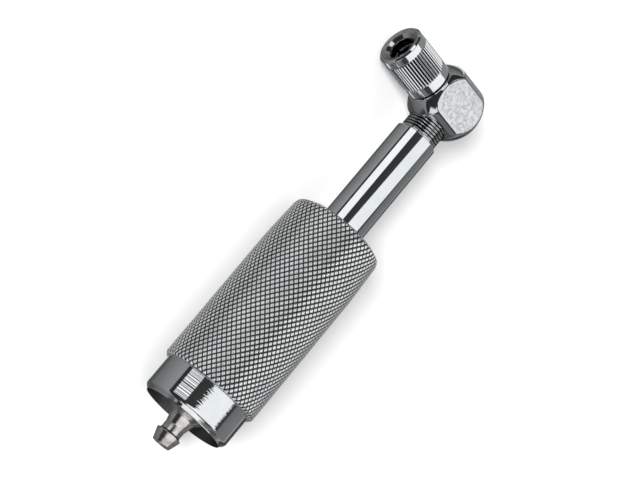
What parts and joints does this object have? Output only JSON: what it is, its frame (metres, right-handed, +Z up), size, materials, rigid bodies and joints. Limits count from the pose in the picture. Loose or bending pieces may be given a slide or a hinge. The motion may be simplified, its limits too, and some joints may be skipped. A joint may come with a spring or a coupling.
{
  "type": "hand push-stroke tire inflator",
  "caption": "Hand push-stroke tire inflator with a knurled pump handle, sliding chrome rod, right-angle elbow and a ribbed valve chuck.",
  "frame": {"origin": "on the bench under the middle of the tool's box, lying on its grip and on the rim of its chuck", "axes": "+X along the pump rod from the inlet nipple to the elbow, +Z up; the chuck points to +Y and a little down"},
  "size_m": [0.1568, 0.0462, 0.0352],
  "materials": {
    "bright_chrome": "mirror-polished chrome plate",
    "knurled_chrome": "satin chrome over fine diamond knurl",
    "satin_flat": "chrome, polished ball with satin milled flats",
    "nickel": "satin nickel-plated steel",
    "steel": "plain machined steel",
    "bronze": "machined bronze",
    "aluminium": "turned aluminium",
    "rubber": "matt black rubber"
  },
  "bodies": {
    "handle": {"barrel": "bright_chrome", "knurled_grip": "knurled_chrome", "inlet_fitting": "nickel", "ball_retainer": "steel", "inlet_spring": "steel", "gland_nut": "bright_chrome", "rod_wiper": "rubber", "rod_seal": "rubber", "guide_bush": "bronze", "gland_washer": "steel", "bump_stop": "rubber", "return_spring": "steel"},
    "inlet_valve": {"inlet_ball": "steel"},
    "piston_carriage": {"piston": "aluminium", "piston_ring": "rubber", "piston_cup": "rubber"},
    "rod_and_head": {"piston_rod": "bright_chrome", "valve_seat_nut": "bronze", "outlet_spring": "steel", "elbow": "satin_flat", "neck_washer": "rubber", "chuck_nozzle": "steel", "valve_seal": "rubber", "pin_spring": "steel"},
    "outlet_valve": {"outlet_ball": "steel"},
    "collar": {"chuck_collar": "bright_chrome"},
    "jaw_1": {"jaw_1": "steel"},
    "jaw_2": {"jaw_2": "steel"},
    "jaw_3": {"jaw_3": "steel"},
    "jaw_4": {"jaw_4": "steel"},
    "pin": {"depressor_pin": "steel"}
  },
  "joints": [
    {"name": "handle_stroke", "type": "slide", "parent": "handle", "child": "piston_carriage", "axis": [-1, 0, 0], "range_m": [0, 0.03], "stiffness_N_per_m": 500, "springref_m": -0.02, "deforming": ["return_spring"]},
    {"name": "rod_turn", "type": "hinge", "parent": "piston_carriage", "child": "rod_and_head", "pos_m": [-0.00767, -0.00548, 0.0176], "axis": [1, 0, 0], "continuous": true},
    {"name": "inlet_ball_lift", "type": "slide", "parent": "handle", "child": "inlet_valve", "axis": [1, 0, 0], "range_m": [0, 0.001], "stiffness_N_per_m": 40, "springref_m": -0.002, "deforming": ["inlet_spring"]},
    {"name": "outlet_ball_lift", "type": "slide", "parent": "rod_and_head", "child": "outlet_valve", "axis": [1, 0, 0], "range_m": [0, 0.001], "stiffness_N_per_m": 40, "springref_m": -0.002, "deforming": ["outlet_spring"]},
    {"name": "collar_turn", "type": "hinge", "parent": "rod_and_head", "child": "collar", "pos_m": [0.06713, 0.01303, 0.01002], "axis": [0, -0.9254, 0.3789], "range_deg": [0, 150]},
    {"name": "jaw_1_close", "type": "slide", "parent": "rod_and_head", "child": "jaw_1", "axis": [-0.7071, 0.2679, 0.6544], "range_m": [0, 0.0004]},
    {"name": "jaw_2_close", "type": "slide", "parent": "rod_and_head", "child": "jaw_2", "axis": [0.7071, 0.2679, 0.6544], "range_m": [0, 0.0004]},
    {"name": "jaw_3_close", "type": "slide", "parent": "rod_and_head", "child": "jaw_3", "axis": [0.7071, -0.2679, -0.6544], "range_m": [0, 0.0004]},
    {"name": "jaw_4_close", "type": "slide", "parent": "rod_and_head", "child": "jaw_4", "axis": [-0.7071, -0.2679, -0.6544], "range_m": [0, 0.0004]},
    {"name": "pin_press", "type": "slide", "parent": "rod_and_head", "child": "pin", "axis": [0, -0.9254, 0.3789], "range_m": [0, 0.0015], "stiffness_N_per_m": 80, "springref_m": -0.003, "deforming": ["pin_spring"]}
  ],
  "couplings": [
    {"joint": "jaw_1_close", "follows": "collar_turn", "m_per_rad": 0.00015279},
    {"joint": "jaw_2_close", "follows": "collar_turn", "m_per_rad": 0.00015279},
    {"joint": "jaw_3_close", "follows": "collar_turn", "m_per_rad": 0.00015279},
    {"joint": "jaw_4_close", "follows": "collar_turn", "m_per_rad": 0.00015279}
  ]
}
